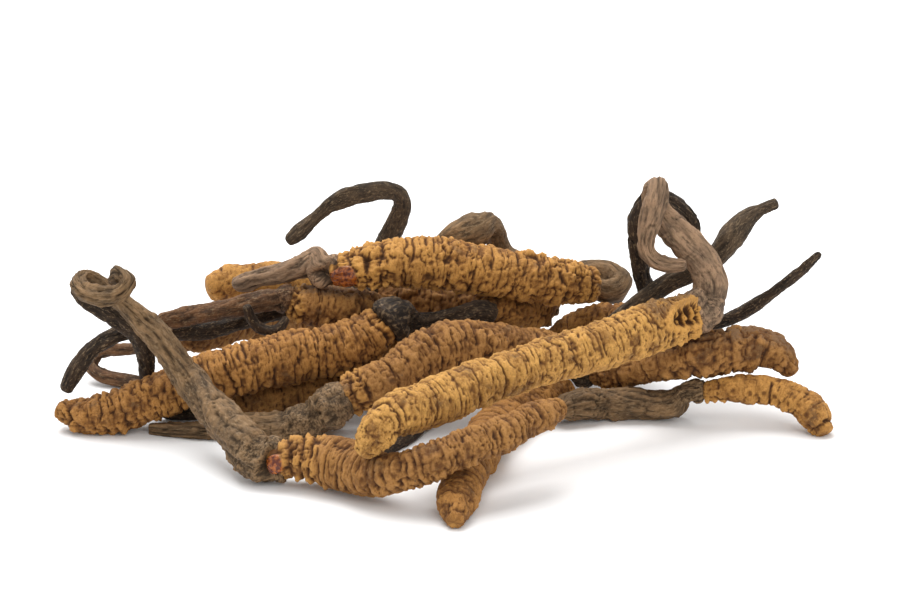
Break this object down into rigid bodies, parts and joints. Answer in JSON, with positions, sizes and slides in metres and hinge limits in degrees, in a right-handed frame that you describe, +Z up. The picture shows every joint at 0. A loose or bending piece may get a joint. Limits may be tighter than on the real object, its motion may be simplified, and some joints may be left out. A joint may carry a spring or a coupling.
{
  "type": "cordyceps bundle",
  "caption": "Loose heap of dried cordyceps: ringed golden husks lying across each other with dark curled stalks grown from their heads.",
  "frame": {"origin": "bottom centre of the bundle's box, on the surface it lies on", "axes": "+X to the right along the bundle's length, +Y away from the side with the long front husk, +Z up"},
  "size_m": [0.0904, 0.0636, 0.029],
  "materials": {
    "golden_husk": "dry wrinkled skin, golden tan, matt",
    "brown_husk": "dry wrinkled skin, orange brown, matt",
    "grey_stalk": "dry fibrous fungus, grey brown, matt",
    "dark_stalk": "dry fibrous fungus, near black, matt"
  },
  "bodies": {
    "root": {"long_front_husk": "golden_husk", "top_husk": "golden_husk", "left_husk": "brown_husk", "middle_husk": "brown_husk", "low_front_husk": "brown_husk", "stub_husk": "brown_husk", "right_upper_husk": "brown_husk", "right_lower_husk": "brown_husk", "far_back_husk": "golden_husk", "hanging_husk": "brown_husk", "spotted_husk": "brown_husk", "back_left_husk": "brown_husk", "back_right_husk": "golden_husk", "under_left_husk": "brown_husk", "under_middle_husk": "brown_husk", "inner_back_husk": "brown_husk", "front_left_stalk": "grey_stalk", "top_stalk": "grey_stalk", "left_husk_stalk": "dark_stalk", "budded_stalk": "grey_stalk", "middle_stalk": "grey_stalk", "knotted_stalk": "grey_stalk", "looped_stalk": "dark_stalk", "blunt_right_stalk": "dark_stalk", "thin_right_stalk": "dark_stalk", "right_floor_stalk": "grey_stalk", "ribbon_stalk": "grey_stalk", "arching_left_stalk": "dark_stalk", "ribbed_stalk": "dark_stalk", "hairpin_stalk": "grey_stalk", "leaning_stalk": "dark_stalk", "under_middle_stalk": "dark_stalk", "hooked_thread_stalk": "dark_stalk"}
  },
  "joints": []
}
